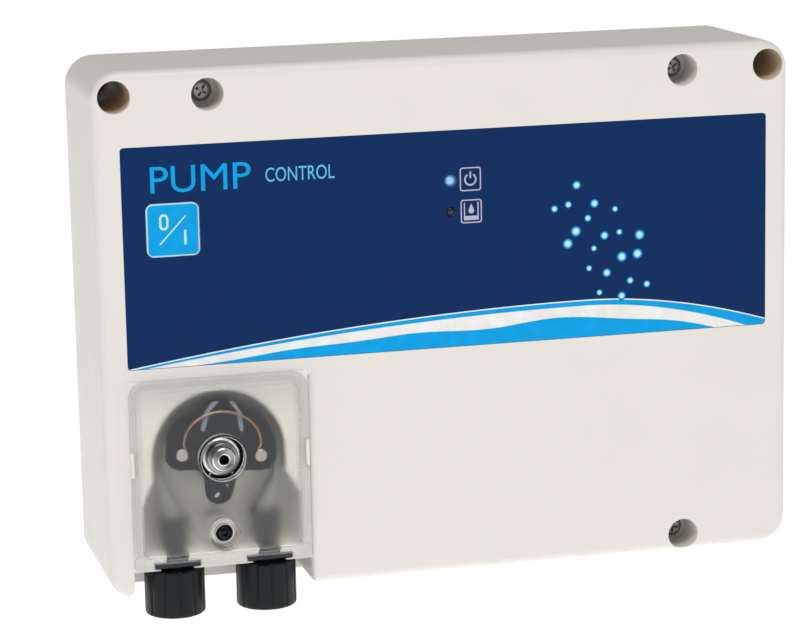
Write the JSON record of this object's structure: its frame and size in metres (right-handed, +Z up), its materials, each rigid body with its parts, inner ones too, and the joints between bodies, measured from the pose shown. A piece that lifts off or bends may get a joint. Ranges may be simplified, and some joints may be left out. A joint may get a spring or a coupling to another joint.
{
  "type": "peristaltic pump",
  "caption": "Wall-mounted dosing pump: shallow plastic housing with a control panel, and a two-roller tube head under a clear cover with hose nuts below.",
  "frame": {"origin": "centre of the flat back face that lies on the wall", "axes": "+X to the right seen from the front, +Y into the wall, +Z up; the front faces -Y"},
  "size_m": [0.234, 0.0604, 0.179],
  "materials": {
    "housing_cream": "satin moulded, fine texture",
    "label_navy": "satin membrane film",
    "key_cyan": "satin membrane film",
    "cover_clear": "clear moulded, faintly frosted",
    "rotor_slate": "smooth moulded",
    "nut_black": "fine moulded texture",
    "tube_rubber": "matte elastomer",
    "seal_rubber": "matte elastomer",
    "acetal_white": "smooth moulded",
    "steel_bright": "turned and zinc plated",
    "steel_sheet": "drawn sheet",
    "bronze": "sintered bush",
    "spring_bronze": "drawn spring wire",
    "copper_winding": "enamelled winding",
    "magnet_dark": "ferrite magnet on a steel shaft",
    "transformer_core": "laminated core with bobbin",
    "board_green": "solder-masked laminate",
    "component_black": "moulded package",
    "led_lit": "clear lens, lit",
    "led_dark": "smoked lens, off",
    "screw_black": "blackened steel"
  },
  "bodies": {
    "housing": {"front_housing": "housing_cream", "back_plate": "housing_cream", "housing_gasket": "seal_rubber", "lid_screw_1": "steel_bright", "lid_screw_2": "steel_bright", "lid_screw_3": "steel_bright", "front_label": "label_navy", "tact_switch": "component_black", "led_power": "led_lit", "led_level": "led_dark", "control_board": "board_green", "board_screw_1": "steel_bright", "board_screw_2": "steel_bright", "board_screw_3": "steel_bright", "board_screw_4": "steel_bright", "transformer": "transformer_core", "mains_terminal": "acetal_white", "sensor_terminal": "acetal_white", "fuse_holder": "component_black", "fuse": "steel_bright", "motor_relay": "component_black", "smoothing_capacitor": "component_black", "controller_chip": "component_black", "cable_grommet_1": "seal_rubber", "cable_grommet_2": "seal_rubber", "pump_base": "housing_cream", "pump_tube": "tube_rubber", "connector_left": "rotor_slate", "connector_right": "rotor_slate", "shaft_bush": "bronze", "base_screw_1": "steel_bright", "base_screw_2": "steel_bright", "gearbox_case": "steel_sheet", "gearbox_lid": "steel_sheet", "idler_axle": "steel_bright", "motor_coil": "copper_winding", "motor_can": "steel_sheet"},
    "key": {"key_button": "key_cyan"},
    "rotor": {"roller_holder": "rotor_slate", "hub_nose": "steel_bright", "drive_shaft": "steel_bright", "spring_wire": "spring_bronze", "roller_pin_left": "steel_bright", "roller_pin_right": "steel_bright", "output_gear": "acetal_white"},
    "left_roller": {"roller_left": "acetal_white"},
    "right_roller": {"roller_right": "acetal_white"},
    "idler": {"idler_gear": "acetal_white"},
    "motor_spindle": {"motor_rotor": "magnet_dark"},
    "cover": {"pump_cover": "cover_clear"},
    "cover_fastener": {"cover_screw": "screw_black"},
    "left_ring": {"clamp_ring_left": "acetal_white"},
    "left_nut": {"hose_nut_left": "nut_black"},
    "right_ring": {"clamp_ring_right": "acetal_white"},
    "right_nut": {"hose_nut_right": "nut_black"}
  },
  "joints": [
    {"name": "rotor_spin", "type": "hinge", "parent": "housing", "child": "rotor", "pos_m": [-0.0793, -0.0475, -0.0401], "axis": [0, 1, 0], "continuous": true},
    {"name": "left_roller_spin", "type": "hinge", "parent": "rotor", "child": "left_roller", "pos_m": [-0.09221, -0.0475, -0.03846], "axis": [0, 1, 0], "continuous": true},
    {"name": "right_roller_spin", "type": "hinge", "parent": "rotor", "child": "right_roller", "pos_m": [-0.06629, -0.0475, -0.04054], "axis": [0, 1, 0], "continuous": true},
    {"name": "idler_spin", "type": "hinge", "parent": "housing", "child": "idler", "pos_m": [-0.06424, -0.024, -0.0186], "axis": [0, 1, 0], "continuous": true},
    {"name": "motor_spin", "type": "hinge", "parent": "housing", "child": "motor_spindle", "pos_m": [-0.08319, -0.015, -0.03186], "axis": [0, 1, 0], "continuous": true},
    {"name": "key_press", "type": "slide", "parent": "housing", "child": "key", "axis": [0, 1, 0], "range_m": [0, 0.0005], "stiffness_N_per_m": 3000},
    {"name": "cover_lift", "type": "slide", "parent": "housing", "child": "cover", "axis": [0, -1, 0], "range_m": [0, 0.03]},
    {"name": "cover_screw_turn", "type": "hinge", "parent": "cover", "child": "cover_fastener", "pos_m": [-0.0793, -0.05, -0.0653], "axis": [0, 1, 0], "continuous": true},
    {"name": "left_ring_slide", "type": "slide", "parent": "housing", "child": "left_ring", "axis": [0, 0, -1], "range_m": [0, 0.0041]},
    {"name": "left_nut_turn", "type": "hinge", "parent": "left_ring", "child": "left_nut", "pos_m": [-0.0946, -0.0475, -0.085], "axis": [0, 0, -1], "range_deg": [0, 720]},
    {"name": "right_ring_slide", "type": "slide", "parent": "housing", "child": "right_ring", "axis": [0, 0, -1], "range_m": [0, 0.0041]},
    {"name": "right_nut_turn", "type": "hinge", "parent": "right_ring", "child": "right_nut", "pos_m": [-0.064, -0.0475, -0.085], "axis": [0, 0, -1], "range_deg": [0, 720]}
  ],
  "couplings": [
    {"joint": "left_roller_spin", "follows": "rotor_spin", "ratio": -3.5517},
    {"joint": "right_roller_spin", "follows": "rotor_spin", "ratio": -3.5517},
    {"joint": "idler_spin", "follows": "rotor_spin", "ratio": -3.2},
    {"joint": "motor_spin", "follows": "rotor_spin", "ratio": 9.9556},
    {"joint": "left_ring_slide", "follows": "left_nut_turn", "m_per_rad": 0.00031831},
    {"joint": "right_ring_slide", "follows": "right_nut_turn", "m_per_rad": 0.00031831}
  ]
}
